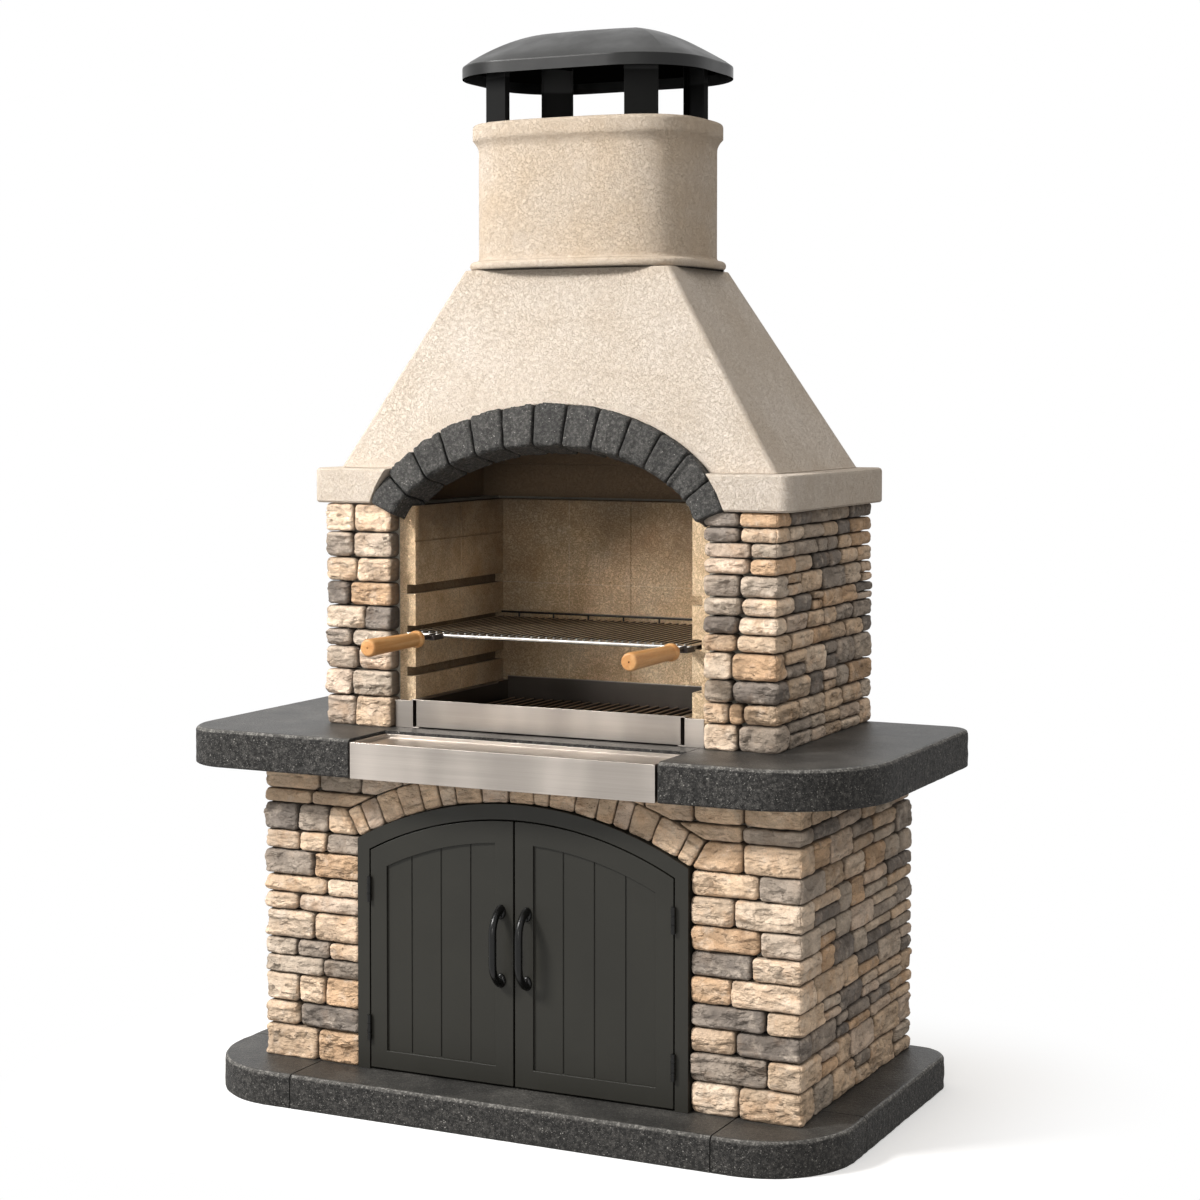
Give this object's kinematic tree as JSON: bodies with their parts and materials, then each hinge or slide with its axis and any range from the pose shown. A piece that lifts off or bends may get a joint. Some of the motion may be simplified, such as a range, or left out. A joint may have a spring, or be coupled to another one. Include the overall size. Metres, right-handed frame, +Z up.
{
  "type": "outdoor masonry barbecue",
  "caption": "Stone-clad outdoor barbecue with an arched log store behind two doors, a worktop, a firebox with a sliding grate and fire tray, and a plastered hood with a capped chimney.",
  "frame": {"origin": "on the ground, halfway between the sides and halfway between the front and back of the stone base", "axes": "+X to the right as one faces the doors, +Y to the back, +Z up"},
  "size_m": [1.542, 0.848, 2.2769],
  "materials": {
    "dark_slab": "cast slab, smooth top with pale flecks, pebbled edges",
    "concrete": "plain cast concrete",
    "split_stone": "rough split faces in tan, cream, ochre and grey",
    "tan_arch_stone": "rough split faces in tan",
    "door_paint": "satin dark olive grey",
    "black_iron": "satin black",
    "stainless": "brushed along its length",
    "firebrick": "fine grained cast firebrick",
    "render": "pebbled beige plaster",
    "dark_granite": "dark stone with pale flecks",
    "cap_paint": "satin dark grey",
    "scorched_steel": "dull brown, heat stained",
    "bright_wire": "bright plated wire",
    "fork_iron": "dark steel",
    "light_wood": "clear lacquered light wood"
  },
  "bodies": {
    "root": {"plinth_front_centre": "dark_slab", "plinth_corner_left": "dark_slab", "plinth_corner_right": "dark_slab", "plinth_side_left": "dark_slab", "plinth_side_right": "dark_slab", "floor_slab": "dark_slab", "base_front_panel": "concrete", "base_left_wall": "concrete", "base_right_wall": "concrete", "base_back_wall": "concrete", "base_stones_left": "split_stone", "base_stones_right": "split_stone", "base_stones_front_left": "split_stone", "base_stones_front_right": "split_stone", "door_arch_stones": "tan_arch_stone", "door_frame": "door_paint", "hinge_knuckles_frame": "black_iron", "hinge_pins": "black_iron", "worktop_left": "dark_slab", "worktop_centre": "dark_slab", "worktop_right": "dark_slab", "front_ledge": "stainless", "side_wall_left": "concrete", "side_wall_right": "concrete", "liner_left": "firebrick", "liner_right": "firebrick", "liner_back": "firebrick", "back_panel": "concrete", "pillar_stones_left": "split_stone", "pillar_stones_right": "split_stone", "cornice": "render", "hood": "render", "arch_stones": "dark_granite", "chimney": "render", "cap": "cap_paint", "cap_posts": "cap_paint", "tray_guide_left": "stainless", "tray_guide_right": "stainless"},
    "left_door": {"door_left": "door_paint", "door_left_panel": "door_paint", "door_left_handle": "black_iron", "hinge_knuckles_left": "black_iron"},
    "right_door": {"door_right": "door_paint", "door_right_panel": "door_paint", "door_right_handle": "black_iron", "hinge_knuckles_right": "black_iron"},
    "fire_tray": {"fire_tray": "stainless"},
    "charcoal_grate": {"charcoal_grate": "scorched_steel"},
    "cooking_grate": {"grate_frame": "bright_wire", "grate_wires": "bright_wire", "grate_forks": "fork_iron", "grate_grips": "light_wood"}
  },
  "joints": [
    {"name": "left_door_hinge", "type": "hinge", "parent": "root", "child": "left_door", "pos_m": [-0.3505, -0.3428, 0.309], "axis": [0, 0, -1], "range_deg": [0, 110]},
    {"name": "right_door_hinge", "type": "hinge", "parent": "root", "child": "right_door", "pos_m": [0.3505, -0.3428, 0.309], "axis": [0, 0, 1], "range_deg": [0, 110]},
    {"name": "fire_tray_slide", "type": "slide", "parent": "root", "child": "fire_tray", "axis": [0, -1, 0], "range_m": [0, 0.3]},
    {"name": "cooking_grate_slide", "type": "slide", "parent": "root", "child": "cooking_grate", "axis": [0, -1, 0], "range_m": [0, 0.28]},
    {"name": "charcoal_grate_lift", "type": "slide", "parent": "fire_tray", "child": "charcoal_grate", "axis": [0, 0, 1], "range_m": [0, 0.05]}
  ]
}
